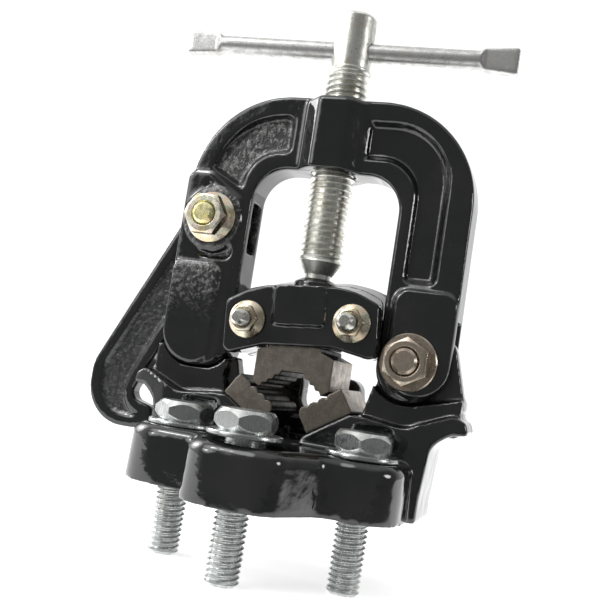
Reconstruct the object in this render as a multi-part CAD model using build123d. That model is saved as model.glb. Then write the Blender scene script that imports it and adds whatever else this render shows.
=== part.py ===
from build123d import *
import os
from math import cos, radians, sin, tan

# Hinged pipe vise, bench type, closed on an empty throat.
# Millimetres. Origin at the middle of the foot's underside, below the screw axis.
# +X runs from the latch to the hinge, -Y faces the user, +Z is up.

# Foot and mounting hardware
foot_height = 19.5
foot_half_width = 49.5
foot_front = 42.0
foot_rear = 28.0
foot_edge_round = 4.0
front_lobe_y = 63.0
side_bolt = (32.7, -25.3)
front_bolt = (0.0, -50.0)
mount_bolt_radius = 5.55
mount_hole_radius = 6.0
mount_head_flats = 18.5
mount_head_height = 7.0
mount_head_turns = (22.6, 37.0, 37.7)
mount_shank_radius = 5.85
mount_stud_end = -24.5
mount_stud_top = -0.5
washer_radius = 12.3
washer_thickness = 1.6
front_bolt_lift = 2.0

# Jaw seat
seat_angle = 33.0
seat_corner = (9.0, 23.4)
seat_half_depth = 14.5
trough_half_width = 7.4
trough_floor = 20.6
shoulder_height = 32.5
jaw_length = 18.1
jaw_height = 9.3
jaw_front = -14.0
jaw_rear = 14.4
jaw_screw_radius = 3.0

# Hinge side
pivot = (40.2, 53.3)
pivot_radius = 4.5
pivot_washer_radius = 10.2
pivot_washer_thickness = 1.6
hinge_tongue_half = 3.6
post_half = 7.5
lug_radius = 14.3
lug_gap = 0.6
head_round = 11.4
head_reach = 16.3
opened_angle = 75.0

# Yoke
yoke_half = 7.5
yoke_half_width = 54.5
yoke_top = 146.4
yoke_corner = 37.0
window_half_width = 28.3
window_top = 118.5
window_corner = 13.0
web_depth = 3.0
boss_flats = 27.4
leg_half = 8.3
pad_half = 9.3
lug_pad_half = 9.0
left_leg_edge = 55.4
left_leg_foot = 41.2
left_leg_top = 114.6
slot_half = 3.75
latch_slot_roof = 113.0
hinge_slot_roof = 70.0
latch_axis = (-42.3, 97.1)
latch_bolt_radius = 4.0
latch_boss_radius = 11.5
hook_half = 3.5
hook_eye_radius = 12.2
hook_rim = 4.2
hook_corner_round = 16.0

# Clamping side
screw_radius = 8.2
screw_head_radius = 7.6
screw_neck_radius = 4.75
screw_foot_radius = 7.5
screw_top = 181.1
thread_top = 159.5
thread_bottom = 85.5
screw_neck_top = 81.0
bar_height = 167.0
bar_radius = 3.5
bar_angle = 3.7
bar_left = 66.0
bar_right = 62.0
spade_length = 13.0
spade_half_width = 5.0
spade_half_thickness = 2.1
carrier_half_width = 28.8
carrier_block_half_width = 27.0
carrier_top = 75.0
carrier_rise = 4.2
carrier_plate_inner = 7.9
carrier_plate_outer = 14.2
carrier_middle = 62.1
carrier_tilt = 5.0
carrier_bolt_reach = 19.5
carrier_bolt_radius = 2.85
upper_jaw_half_width = 14.5
upper_jaw_front = -12.6
upper_jaw_rail_half = 9.6
upper_jaw_shoulder = 50.4
upper_jaw_top = 53.9

fit = 0.05
STANDING = (Align.CENTER, Align.CENTER, Align.MIN)


def outline(points, radii=0):
    """Face bounded by straight runs between (x, z) corners, each with its own rounding."""
    edge = FilletPolyline(*points, radius=radii, close=True)
    return make_face(Plane.XZ * edge)


def mirrored(face):
    """The same outline on the other side of the screw axis."""
    return mirror(face, about=Plane.YZ)


def slab(face, front, rear):
    """Solid between two y values, cut from an XZ outline."""
    return extrude(Pos(0, rear, 0) * face, amount=rear - front, dir=(0, -1, 0))


def both_sides(face, half):
    """Slab centred on the XZ plane."""
    return slab(face, -half, half)


def disc(centre, radius):
    """Round outline in the XZ plane."""
    return Plane.XZ * Pos(*centre) * Circle(radius)


def cross_bore(centre, radius, half=60):
    """Cylinder along Y for drilling through the castings."""
    return both_sides(disc(centre, radius), half)


def upright(centre, radius, bottom, top):
    """Cylinder along Z between two heights."""
    return Pos(centre[0], centre[1], bottom) * Cylinder(
        radius, top - bottom, align=(Align.CENTER, Align.CENTER, Align.MIN)
    )


def hex_head(flats, height, both_ends=False):
    """Hexagon standing on z = 0, its corners turned down to a 30 degree cone."""
    slope = tan(radians(30))
    corner_radius = flats / 2 / cos(radians(30))
    drop = (corner_radius - flats / 2) * slope
    profile = [(0, 0), (corner_radius, 0)]
    if both_ends:
        profile = [(0, 0), (flats / 2, 0), (corner_radius, drop)]
    profile += [(corner_radius, height - drop), (flats / 2, height), (0, height)]
    turned = revolve(Plane.XZ * make_face(Polyline(*profile, close=True)), axis=Axis.Z)
    return extrude(RegularPolygon(corner_radius, 6), amount=height) & turned


def toward_front(part, centre, y):
    """Stands a part that was built along +Z on a face at y, pointing at the user."""
    return Pos(centre[0], y, centre[1]) * Rot(90, 0, 0) * part


def toward_rear(part, centre, y):
    """Stands a part that was built along +Z on a face at y, pointing away."""
    return Pos(centre[0], y, centre[1]) * Rot(-90, 0, 0) * part


def seat_frame(side):
    """Plane of one lower jaw: local X climbs the seat outward, local Y leaves it."""
    slope = radians(seat_angle)
    corner = (side * seat_corner[0], 0, seat_corner[1])
    climb = (side * cos(slope), 0, sin(slope))
    return Plane(origin=corner, x_dir=climb, z_dir=(0, -side, 0))


def opened(x, z):
    """Point given in the frame that the hinged leg has when it is fully open."""
    turn = radians(90 - opened_angle)
    return (
        pivot[0] + x * cos(turn) - z * sin(turn),
        pivot[1] + x * sin(turn) + z * cos(turn),
    )


def foot():
    """Three lobes round the mounting bolts, with a waist beside the front one."""
    waist = 20.0
    lobe = 15.2
    right_waist = (26.0, -39.5)
    corners = [
        (-foot_half_width, foot_rear),
        (-foot_half_width, -foot_front),
        (-waist, -foot_front),
        (-lobe, -front_lobe_y),
        (lobe - 1.0, -front_lobe_y),
        right_waist,
        (foot_half_width - 2.0, -foot_front + 1.5),
        (foot_half_width, foot_rear),
    ]
    edge = FilletPolyline(*corners, radius=[6, 15.5, 3, 13, 11, 6, 14.5, 6], close=True)
    block = extrude(make_face(edge), amount=foot_height, taper=1.5)
    return fillet(block.faces().sort_by(Axis.Z)[-1].edges(), foot_edge_round)


def pedestal():
    """Cross wall that carries the jaws, with a horn at each end."""
    slope = tan(radians(seat_angle))
    seat_low = seat_corner[1] - (seat_corner[0] - trough_half_width) * slope
    seat_top_x = seat_corner[0] + (shoulder_height - seat_corner[1]) / slope
    right = [
        (0, trough_floor),
        (trough_half_width, trough_floor),
        (trough_half_width, seat_low),
        (seat_top_x, shoulder_height),
        (30.0, 32.3),
        (42.2, 30.6),
        (58.5, 37.6),
        (62.6, 35.8),
        (64.0, 31.2),
        (58.6, 31.2),
        (52.4, 26.4),
        (50.8, 8.0),
        (50.8, 0),
        (0, 0),
    ]
    rounds = [0, 0, 0, 0.8, 5, 9, 4, 2, 1.2, 5, 7, 14, 0, 0]
    half = outline(right, rounds)
    wall = both_sides(half + mirrored(half), seat_half_depth)
    plan = Polyline(
        (-70, -6.5), (-46, -15), (46, -15), (70, -6.5),
        (70, 6.5), (46, 15), (-46, 15), (-70, 6.5),
        close=True,
    )
    return wall & extrude(make_face(plan), amount=60)


def pipe_rest():
    """Narrow saddle behind the jaws that keeps a long pipe level."""
    top = 44.8
    reach = 17.4
    saddle = outline(
        [(-reach - 3, 15), (-reach, top), (reach, top), (reach + 3, 15)],
        [0, 5, 5, 0],
    )
    hollow = outline(
        [(-7.5, 48), (-5.4, 41), (-5.4, 30.4), (5.4, 30.4), (5.4, 41), (7.5, 48)],
        [0, 4, 4.5, 4.5, 4, 0],
    )
    shelf = outline([(-27, 15), (-27, 27.5), (27, 27.5), (27, 15)])
    return slab(saddle - hollow, 19.5, foot_rear) + slab(shelf, seat_half_depth, 20)


def hinge_post():
    """Right post: shoulders shaped to the turning lug, and the hinge tongue."""
    seat = lug_radius + lug_gap
    thick = outline(
        [(24.6, 28), (28.4, 43.5), (28.9, 56), (61, 56), (60.3, 41), (59.6, 30)],
        [0, 8, 0, 0, 3, 0],
    )
    ramp = outline([pivot, opened(0, -seat), opened(45, -seat), opened(45, 0)])
    swept = disc(pivot, seat) + ramp
    block = both_sides(thick, post_half) - both_sides(swept, 20)
    inner = pivot[0] - head_round
    turn = radians(90 - opened_angle)
    top_inner = (inner, pivot[1] + head_round * (1 - sin(turn)) / cos(turn))
    tongue = outline(
        [(inner, 32), top_inner, opened(head_reach, head_round), (60.6, 40.8), (60.2, 32)],
        [0, head_round - 0.1, 10, 2, 0],
    )
    return block + both_sides(tongue, hinge_tongue_half)


def latch_post():
    """Left post: a seat shaped to the latch leg's foot, a guide tongue and a web beside the leg."""
    thick = outline(
        [(-24.6, 28), (-28.0, 38.5), (-27.4, 44.8), (-35, 47.8), (-56.2, 47.8), (-56.9, 43), (-56.6, 30)],
        [0, 2, 0.6, 0, 0.6, 4, 0],
    )
    nest = outline([(-56, 40.6), (-56, 60), (-27.7, 60), (-27.7, 40.6)], [13.6, 0, 0, 9.6])
    tongue = outline([(-34.6, 32), (-34.6, 56), (-48.5, 56), (-48.5, 32)], [0, 6, 6, 0])
    web = outline([(-25.6, 30), (-25.4, 34.5), (-23.4, 38.5), (-25.6, 46.4), (-28.1, 46.4), (-28.1, 32)])
    return both_sides(thick - nest, post_half) + both_sides(tongue + web, hinge_tongue_half)


def base_casting():
    """Foot, jaw seat, posts, horns and pipe rest in one casting, then the machining."""
    body = foot() + pedestal() + pipe_rest() + hinge_post() + latch_post()
    for x, y in mounting_places():
        body -= upright((x, y), mount_hole_radius, -1, foot_height + 20)
        body -= upright((x, y), washer_radius + 0.6, foot_height, foot_height + 10.5)
    body -= cross_bore(pivot, pivot_radius + fit)
    for side in (-1, 1):
        body -= jaw_screw(side, clearance=0.3)
    return body


def mounting_places():
    """The three holding-down bolts, in plan."""
    x, y = side_bolt
    return [(-x, y), (x, y), front_bolt]


def jaw_screw(side, clearance=0.0):
    """Cap screw that pulls a lower jaw onto its seat from under the foot."""
    shank = 19.0
    bite = 5.0
    middle = jaw_length / 2
    frame = seat_frame(side)
    away = Plane(origin=frame.from_local_coords((middle, bite, 0)), z_dir=-frame.y_dir)
    stem = Cylinder(jaw_screw_radius + clearance, shank, align=STANDING)
    deep = 30.0 if clearance else 6.0
    head = Pos(0, 0, shank) * Cylinder(5.0 + clearance, deep, align=STANDING)
    return away * (stem + head)


def serrations(start, pitch, depth, count):
    """Rounded bumps along local X, seen from the end of a jaw."""
    bumps = []
    for index in range(count):
        centre = start + pitch * (index + 0.5)
        bumps.append(Pos(centre, 0) * Ellipse(pitch * 0.52, depth))
    return bumps


def lower_jaw(side):
    """Hardened block on the sloping seat, its bumps facing the pipe."""
    frame = seat_frame(side)
    depth = 1.7
    body_height = jaw_height - depth
    block = Pos(jaw_length / 2, body_height / 2) * RectangleRounded(jaw_length, body_height, 0.6)
    pitch = (jaw_length - 3.4) / 4
    face = block
    for bump in serrations(0.6, pitch, depth, 4):
        face += Pos(0, body_height) * bump
    face += Pos(jaw_length - 1.9, body_height) * RectangleRounded(3.4, 2 * depth, 0.6)
    shift = -jaw_rear if side > 0 else jaw_front
    blank = extrude(frame.offset(shift) * face, amount=jaw_rear - jaw_front)
    return blank - jaw_screw(side, clearance=fit)


def upper_jaw():
    """Sliding jaw with a stepped notch, hung in the carrier by its flanged stem."""
    half = upper_jaw_half_width
    rail = upper_jaw_rail_half
    steps = 4
    tip = (11.5, 37.0)
    crest = (2.6, 43.9)
    run = (tip[0] - crest[0]) / steps
    rise = (crest[1] - tip[1]) / steps
    right = [
        (rail, upper_jaw_top),
        (rail, upper_jaw_top - 1.6),
        (half, upper_jaw_shoulder),
        (half, 38.9),
        (half - 0.9, 38.3),
        tip,
    ]
    for index in range(steps):
        x = tip[0] - run * index
        z = tip[1] + rise * index
        right.append((x - 0.35 * run, z + rise))
        if index < steps - 1:
            right.append((x - run, z + rise))
    left = [(-x, z) for x, z in reversed(right)]
    rounds = [0.3] * (2 * len(right))
    plate = slab(outline(right + left, rounds), upper_jaw_front, jaw_rear)
    stem = upright((0, 0), 4.5, upper_jaw_top - 1, 60.0)
    flange = upright((0, 0), 6.5, 57.0, 60.0)
    return plate + stem + flange


def mounting_bolts():
    """Three hexagon bolts, the front one standing a little proud."""
    bolts = []
    for place, turn in zip(mounting_places(), mount_head_turns):
        lift = front_bolt_lift if place == front_bolt else 0.0
        seat = foot_height + washer_thickness + lift
        thread = upright(place, mount_bolt_radius, mount_stud_end, mount_stud_top)
        thread = chamfer(thread.edges().group_by(Axis.Z)[0], 1.0)
        shank = upright(place, mount_shank_radius, mount_stud_top, seat)
        head = hex_head(mount_head_flats, mount_head_height, both_ends=True)
        bolts.append(thread + shank + Pos(*place, seat) * Rot(0, 0, turn) * head)
    return bolts


def mounting_washers():
    """Plain washers under the three bolt heads."""
    washers = []
    for place in mounting_places():
        ring = upright(place, washer_radius, foot_height, foot_height + washer_thickness)
        ring = fillet(ring.edges().group_by(Axis.Z)[-1], 0.5)
        hole = upright(place, mount_hole_radius, 0, foot_height + 10)
        washers.append(ring - hole)
    return washers


def yoke_blank():
    """Arch with two legs, before its webs are sunk and its slots are cut."""
    inner_lug = pivot[0] - window_half_width
    foot_z = pivot[1] - lug_radius + 0.1
    corners = [
        (-yoke_half_width, left_leg_foot),
        (-yoke_half_width, yoke_top),
        (yoke_half_width, yoke_top),
        (yoke_half_width, foot_z),
        (window_half_width, foot_z),
        (window_half_width, window_top),
        (-window_half_width, window_top),
        (-window_half_width, left_leg_foot),
    ]
    rounds = [13, yoke_corner, yoke_corner, lug_radius - 0.1, inner_lug, window_corner, window_corner, 9]
    arch = softened(both_sides(outline(corners, rounds), yoke_half), 1.2)
    leg = outline(
        [
            (-left_leg_edge, left_leg_foot),
            (-left_leg_edge, left_leg_top),
            (-46, left_leg_top),
            (-31.2, 105.4),
            (-31.2, left_leg_foot),
        ],
        [13, 2.5, 3, 2, 8],
    )
    tongue_pad = outline(
        [
            (-left_leg_edge, left_leg_foot),
            (-left_leg_edge, 79.5),
            (-35.2, 79.5),
            (-35.2, left_leg_foot),
        ],
        [13, 3, 4, 7],
    )
    lug_pad = outline([(31.8, 79), (54.3, 79), (54.3, 41.3), (31.8, 41.3)], [5, 5, 11.1, 11.1])
    return (
        arch
        + softened(both_sides(leg, leg_half), 0.7)
        + softened(both_sides(tongue_pad, pad_half), 1.2)
        + softened(both_sides(lug_pad, lug_pad_half), 1.2)
        + both_sides(disc(latch_axis, latch_boss_radius), pad_half)
    )


def softened(block, radius):
    """Rounds the front and the rear outline of a slab, as sand castings have them."""
    rims = block.faces().filter_by(Axis.Y).edges()
    return fillet(rims, radius)


def screw_boss():
    """Eight-sided boss through the crown, rounded at its top and its foot."""
    bottom = 118.7
    height = 146.2 - bottom
    corner_radius = boss_flats / 2 / cos(radians(22.5))
    prism = Rot(0, 0, 22.5) * extrude(RegularPolygon(corner_radius, 8), amount=height)
    prism = fillet(prism.edges().filter_by(Axis.Z), 2.0)
    prism = fillet(prism.edges().group_by(Axis.Z)[-1], 2.5)
    return Pos(0, 0, bottom) * prism


def web_outline(side, boss_x, outer_round, outer_x, foot_z):
    """Sunk web of one shoulder: follows the crown and the leg between two rims."""
    inner_x = 32.6
    corners = [
        (boss_x, 139.2),
        (outer_x, 139.2),
        (outer_x, foot_z),
        (inner_x, foot_z),
        (inner_x, 124.0),
        (boss_x, 124.0),
    ]
    face = outline(corners, [3, outer_round, 3, 3, 13, 3])
    return mirrored(face) if side < 0 else face


def sunk(face, outer, floor, slope=28):
    """Cutters for the front and the rear of a web, walls sloping like a draft."""
    depth = outer - floor
    front = extrude(Pos(0, -outer, 0) * face, amount=depth, dir=(0, 1, 0), taper=slope)
    return front + mirror(front, about=Plane.XZ)


def left_webs():
    """The latch shoulder's web, crossed by a diagonal rib and the latch boss."""
    whole = web_outline(-1, 15.6, 28, 47.4, 81.8)
    crown_part = outline([(0, 150), (-60, 150), (-60, 124.2), (-26, 105.6), (0, 105.6)])
    leg_part = outline([(-60, 70), (-60, 118.9), (-26, 100.3), (-26, 70)])
    leg_pockets = (whole & leg_part) - disc(latch_axis, latch_boss_radius + 1.2)
    cutters = [sunk(whole & crown_part, yoke_half, yoke_half - web_depth)]
    for pocket in leg_pockets.faces():
        cutters.append(sunk(Sketch([pocket]), leg_half, leg_half - 1.9))
    return cutters


def yoke_casting():
    """Hinged yoke: crown with the screw boss, a latch leg and a hinge leg."""
    body = yoke_blank()
    for cutter in left_webs():
        body -= cutter
    right_web = web_outline(1, 10.0, 23, 45.6, 80.6)
    body -= sunk(right_web, yoke_half, yoke_half - web_depth, slope=40)
    body += screw_boss()
    roof_rise = 11.5
    latch_slot = outline(
        [
            (-70, 20),
            (-70, latch_slot_roof + roof_rise),
            (-46, latch_slot_roof),
            (-32, latch_slot_roof),
            (-32, 20),
        ],
        [0, 0, 4, 5, 0],
    )
    eye_gap = outline([(-36, 86), (-36, 105.2), (-20, 105.2), (-20, 86)])
    hinge_slot = outline([(20, 20), (20, hinge_slot_roof), (70, hinge_slot_roof), (70, 20)])
    body -= both_sides(latch_slot + eye_gap, slot_half)
    body -= both_sides(hinge_slot, slot_half)
    body -= upright((0, 0), screw_radius + fit, 100, 160)
    body -= cross_bore(pivot, pivot_radius + fit)
    body -= cross_bore(latch_axis, latch_bolt_radius + fit)
    return body


def latch_hook():
    """J-shaped hook that swings out of the latch leg and takes hold of the left horn."""
    x, z = latch_axis
    blade = outline(
        [
            (x - 12.0, z + 4.0),
            (-85.6, 36.3),
            (-85.6, 13.4),
            (-62.0, 13.4),
            (-57.2, 16.4),
            (-57.2, 22.6),
            (-67.6, 25.2),
            (-55.8, 51.0),
            (x + 10.3, z - 6.5),
        ],
        [2, hook_corner_round, hook_corner_round, hook_corner_round - 1, 2, 2.4, 3.4, 9, 2],
    )
    body = softened(both_sides(blade, hook_half), 0.8)
    body -= sunk(offset(blade, amount=-hook_rim), hook_half, hook_half - 1.2, slope=42)
    body += both_sides(disc(latch_axis, hook_eye_radius), hook_half)
    return body - cross_bore(latch_axis, latch_bolt_radius + fit)


def flange_nut(bore, flats, height, flange_radius):
    """Hexagon flange nut standing on its flange at z = 0."""
    skirt = Cone(flange_radius, flats / 2, 0.3 * height, align=STANDING)
    base = Cylinder(flange_radius, 1.0, align=STANDING)
    body = base + Pos(0, 0, 1.0) * skirt + hex_head(flats, height)
    return body - Cylinder(bore, 3 * height)


def hex_nut(bore, flats, height):
    """Plain hexagon nut standing on z = 0."""
    return hex_head(flats, height) - Cylinder(bore, 3 * height)


def cross_bolt(centre, radius, flats, head_height, seat, end):
    """Bolt along Y: head behind its seat at the rear, end showing at the front."""
    head = toward_rear(hex_head(flats, head_height), centre, seat)
    shank = slab(disc(centre, radius), end, seat + 0.5)
    shank = chamfer(shank.edges().group_by(Axis.Y)[0], 0.7)
    return head + shank


def pivot_washers():
    """One plain washer under the hinge nut and one under the bolt head."""
    ring = plain_ring(pivot_washer_radius, pivot_radius + fit, pivot_washer_thickness)
    seat = lug_pad_half
    return [toward_front(ring, pivot, -seat), toward_rear(ring, pivot, seat)]


def plain_ring(outer, inner, thickness):
    """Plain washer standing on z = 0, its upper edge slightly rounded."""
    ring = Cylinder(outer, thickness, align=STANDING)
    ring = fillet(ring.edges().group_by(Axis.Z)[-1], 0.4)
    return ring - Cylinder(inner, 4 * thickness)


def carrier_outline(half, rise):
    """One cross-section of the carrier: bowed top, arched foot, top lifted by rise."""
    right = [
        (half, 49.0),
        (half, 69.3 + 1.2 * rise),
        (20.5, 73.5 + rise),
        (13.0, carrier_top + rise),
    ]
    left = [(-x, z) for x, z in reversed(right)]
    return outline(
        right + left + [(-20, 51.3), (-13, 53.1), (13, 53.1), (20, 51.3)],
        [3, 3, 25, 20, 20, 25, 3, 3, 8, 8, 8, 8],
    )


def carrier_half(direction):
    """One half of the carrier; direction -1 is the front, +1 is the rear."""
    inner = carrier_plate_inner
    keep = Pos(0, direction * 30, 60) * Box(90, 60, 120)
    low = Pos(0, -inner - 0.3, 0) * carrier_outline(carrier_block_half_width, 0)
    high = Pos(0, inner + 0.3, 0) * carrier_outline(carrier_block_half_width, carrier_rise)
    body = loft([low, high], ruled=True) & keep
    rise = carrier_rise if direction > 0 else 0
    plate = carrier_outline(carrier_half_width, rise)
    near, far = sorted([direction * inner, direction * carrier_plate_outer])
    body += softened(slab(plate, near, far), 1.0)
    boss = outline([(9.5, 60.7), (9.5, carrier_top), (-9.5, carrier_top), (-9.5, 60.7)], 1.5)
    near, far = sorted([direction * inner, direction * (carrier_plate_outer + 0.9)])
    body += slab(boss, near, far)
    for side in (-1, 1):
        place = (side * carrier_bolt_reach, carrier_middle)
        body -= cross_bore(place, carrier_bolt_radius + fit)
    body = leaning(body)
    collar = upright((0, 0), 8.4, 70, 77.6) + Pos(0, 0, 77.6) * Cone(8.4, 5.6, 1.7, align=STANDING)
    body += collar & keep
    body -= upright((0, 0), screw_neck_radius + fit, 60, 90)
    body -= upright((0, 0), screw_foot_radius + fit, 61.95, 70.05)
    body -= upright((0, 0), 4.6, 40, 60.1)
    body -= upright((0, 0), 6.6, 56.9, 60.1)
    reach = upper_jaw_half_width + 0.6
    pocket = both_sides(outline([(-reach, 30), (-reach, 54), (reach, 54), (reach, 30)]), 60)
    return body - (pocket & (Pos(0, 50 + upper_jaw_front - fit, 50) * Box(60, 100, 60)))


def leaning(part):
    """The carrier hangs a little askew between the legs, turned about the middle of its bolts."""
    return part.rotate(Axis((0, 0, carrier_middle), (0, 1, 0)), -carrier_tilt)


def clamp_screw():
    """Clamping screw: drilled head, threaded body, cone, neck and captive foot."""
    head = upright((0, 0), screw_head_radius, thread_top, screw_top)
    head = chamfer(head.edges().group_by(Axis.Z)[-1], 1.4)
    body = upright((0, 0), screw_radius, thread_bottom, thread_top)
    body = chamfer(body.edges().group_by(Axis.Z)[-1], 0.6)
    cone_height = thread_bottom - screw_neck_top
    cone = Cone(screw_neck_radius + 0.5, screw_radius, cone_height, align=STANDING)
    cone = Pos(0, 0, screw_neck_top) * cone
    neck = upright((0, 0), screw_neck_radius, 69, screw_neck_top)
    sole = upright((0, 0), screw_foot_radius, 62, 70)
    hole = Pos(0, 0, bar_height) * Rot(0, 0, bar_angle) * Rot(0, 90, 0) * Cylinder(bar_radius + 0.1, 40)
    return head + body + cone + neck + sole - hole


def tommy_bar():
    """Round bar with both ends hammered into upright spades that the head cannot pass."""
    lengths = [-bar_left + spade_length, bar_right - spade_length]
    round_run = lengths[1] - lengths[0]
    bar = Pos(lengths[0], 0, 0) * Rot(0, 90, 0) * Cylinder(bar_radius, round_run, align=STANDING)
    for side, start in ((-1, lengths[0]), (1, lengths[1])):
        section = Plane(origin=(start, 0, 0), x_dir=(0, side, 0), z_dir=(side, 0, 0))
        throat = section * Circle(bar_radius)
        neck = section.offset(0.25 * spade_length) * spade_section(0.85)
        tip = section.offset(spade_length) * spade_section(1.0)
        bar += loft([throat, neck]) + loft([neck, tip])
    return Pos(0, 0, bar_height) * Rot(0, 0, bar_angle) * bar


def spade_section(share):
    """Flattened end of the bar, thin across and tall, at a share of its full height."""
    return RectangleRounded(
        2 * spade_half_thickness / share, 2 * spade_half_width * share, 1.4
    )


def carrier_bolts():
    """Two bolts that clamp the halves of the carrier together."""
    bolts = []
    for side in (-1, 1):
        place = (side * carrier_bolt_reach, carrier_middle)
        bolt = cross_bolt(place, carrier_bolt_radius, 10.0, 4.0, carrier_plate_outer, -24.8)
        bolts.append(leaning(bolt))
    return bolts


def carrier_nuts():
    """Flange nuts on the front of the carrier."""
    nut = flange_nut(carrier_bolt_radius + fit, 9.2, 5.6, 6.9)
    nuts = []
    for side in (-1, 1):
        place = (side * carrier_bolt_reach, carrier_middle)
        nuts.append(leaning(toward_front(nut, place, -carrier_plate_outer)))
    return nuts


def solids_of(piece):
    """Flat list of the solids in a piece or in a list of pieces."""
    if isinstance(piece, (list, tuple)):
        return [solid for part in piece for solid in part.solids()]
    return list(piece.solids())


def pieces():
    """Every node by name."""
    pivot_seat = lug_pad_half + pivot_washer_thickness
    pivot_nut = Rot(0, 0, 30) * hex_nut(pivot_radius + fit, 15.0, 6.2)
    latch_nut = toward_front(
        flange_nut(latch_bolt_radius + fit, 14.6, 8.0, 9.7), latch_axis, -pad_half
    )
    return {
        "base_casting": base_casting(),
        "left_lower_jaw": lower_jaw(-1),
        "right_lower_jaw": lower_jaw(1),
        "lower_jaw_screws": [jaw_screw(-1), jaw_screw(1)],
        "mounting_bolts": mounting_bolts(),
        "mounting_washers": mounting_washers(),
        "pivot_bolt": cross_bolt(pivot, pivot_radius, 15.0, 6.0, pivot_seat, -18.0),
        "pivot_washers": pivot_washers(),
        "pivot_nut": toward_front(pivot_nut, pivot, -pivot_seat),
        "yoke_casting": yoke_casting(),
        "latch_bolt": cross_bolt(latch_axis, latch_bolt_radius, 13.0, 5.3, pad_half, -18.8),
        "latch_nut": latch_nut,
        "latch_hook": latch_hook(),
        "carrier_front_half": carrier_half(-1),
        "carrier_rear_half": carrier_half(1),
        "carrier_bolts": carrier_bolts(),
        "carrier_nuts": carrier_nuts(),
        "upper_jaw": upper_jaw(),
        "clamp_screw": clamp_screw(),
        "tommy_bar": tommy_bar(),
    }


os.makedirs("parts", exist_ok=True)
for name, piece in pieces().items():
    solids = solids_of(piece)
    node = solids[0] if len(solids) == 1 else Compound(children=solids)
    export_step(node, f"parts/{name}.step")
    print(name, len(solids), round(sum(solid.volume for solid in solids), 1))
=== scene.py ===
"""Looks of a hinged bench pipe vise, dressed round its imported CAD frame.

Castings and jaws are softened copies of their own solids, threads and fasteners are grids
worked out with numpy, and everything is in metres in the frame of the CAD model.
"""

import logging
import math
from dataclasses import dataclass, replace
from enum import Enum

import bmesh
import bpy
import numpy as np
from mathutils import Matrix, Vector

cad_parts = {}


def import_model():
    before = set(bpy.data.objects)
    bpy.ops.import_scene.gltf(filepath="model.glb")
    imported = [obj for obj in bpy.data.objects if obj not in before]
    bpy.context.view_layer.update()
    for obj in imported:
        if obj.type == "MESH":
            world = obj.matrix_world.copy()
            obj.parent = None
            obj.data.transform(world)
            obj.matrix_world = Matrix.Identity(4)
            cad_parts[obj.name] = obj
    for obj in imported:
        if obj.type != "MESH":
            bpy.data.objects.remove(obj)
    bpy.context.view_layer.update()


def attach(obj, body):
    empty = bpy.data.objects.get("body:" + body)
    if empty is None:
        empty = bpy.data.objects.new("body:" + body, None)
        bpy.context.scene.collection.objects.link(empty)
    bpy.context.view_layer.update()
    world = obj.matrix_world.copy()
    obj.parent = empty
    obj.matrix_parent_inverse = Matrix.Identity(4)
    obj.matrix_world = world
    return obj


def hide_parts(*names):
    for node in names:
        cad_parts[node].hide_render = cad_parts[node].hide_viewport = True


logging.basicConfig(level=logging.INFO, format="%(message)s")
LOG = logging.getLogger("pipe_vise")

MM = 0.001
STEPS = 96
WELD = 2e-6
SOLID_WELD = 1e-5
SENSOR = 36.0
SPOT_CORE = 0.55
TONES = (0.3, 0.7)
WHITE = (1.0, 1.0, 1.0)

Socket = bpy.types.NodeSocket
Tree = bpy.types.NodeTree
Node = bpy.types.Node
Mesh = bpy.types.Mesh
Material = bpy.types.Material
Obj = bpy.types.Object
Pair = tuple[float, float]
Triple = tuple[float, float, float]


class Facing(Enum):
    """Way in which the axis of a turned piece points."""

    UP = "up"
    FRONT = "front"
    REAR = "rear"

    def turn(self) -> np.ndarray:
        """Matrix that takes a piece built along +Z to this way."""
        if self is Facing.UP:
            return np.eye(3)
        side = 1.0 if self is Facing.FRONT else -1.0
        return np.array([[1.0, 0, 0], [0, 0, -side], [0, side, 0]])


def grid_object(name: str, points: np.ndarray, bend_limit: float = 32.0) -> Obj:
    """Skins a grid of points and closes its seams by welding.

    Point (i, j) joins (i, j+1), (i+1, j+1) and (i+1, j) in one face, so the rows run up the
    axis and the columns run round it, and the outer side is on the right of the rows.

    Args:
        name: Name of the new object.
        points: Array (rows, columns, 3) in metres, the last column lying on the first.
        bend_limit: Angle in degrees past which an edge is shaded sharp.

    Returns:
        The new object, at the origin, with its place in its mesh.
    """
    rows, columns = points.shape[:2]
    index = np.arange(rows * columns).reshape(rows, columns)
    quads = np.stack([index[:-1, :-1], index[:-1, 1:], index[1:, 1:], index[1:, :-1]], axis=-1)
    quads = quads.reshape(-1, 4)
    mesh = bpy.data.meshes.new(name)
    mesh.vertices.add(rows * columns)
    mesh.vertices.foreach_set("co", points.reshape(-1).astype(np.float32))
    mesh.loops.add(quads.size)
    mesh.loops.foreach_set("vertex_index", quads.reshape(-1).astype(np.int32))
    mesh.polygons.add(len(quads))
    mesh.polygons.foreach_set("loop_start", np.arange(0, quads.size, 4, dtype=np.int32))
    mesh.update(calc_edges=True)
    weld(mesh)
    mesh.shade_smooth()
    mesh.set_sharp_from_angle(angle=math.radians(bend_limit))
    return put_in_scene(name, mesh)


def weld(mesh: Mesh, distance: float = WELD) -> None:
    """Merges points that lie on each other and drops the faces that this empties."""
    shell = bmesh.new()
    shell.from_mesh(mesh)
    bmesh.ops.remove_doubles(shell, verts=shell.verts, dist=distance)
    bmesh.ops.dissolve_degenerate(shell, edges=shell.edges, dist=distance / 2)
    shell.to_mesh(mesh)
    shell.free()


def put_in_scene(name: str, data: bpy.types.ID) -> Obj:
    """Makes an object of a mesh or a camera and links it to the scene."""
    made = bpy.data.objects.new(name, data)
    bpy.context.scene.collection.objects.link(made)
    return made


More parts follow.
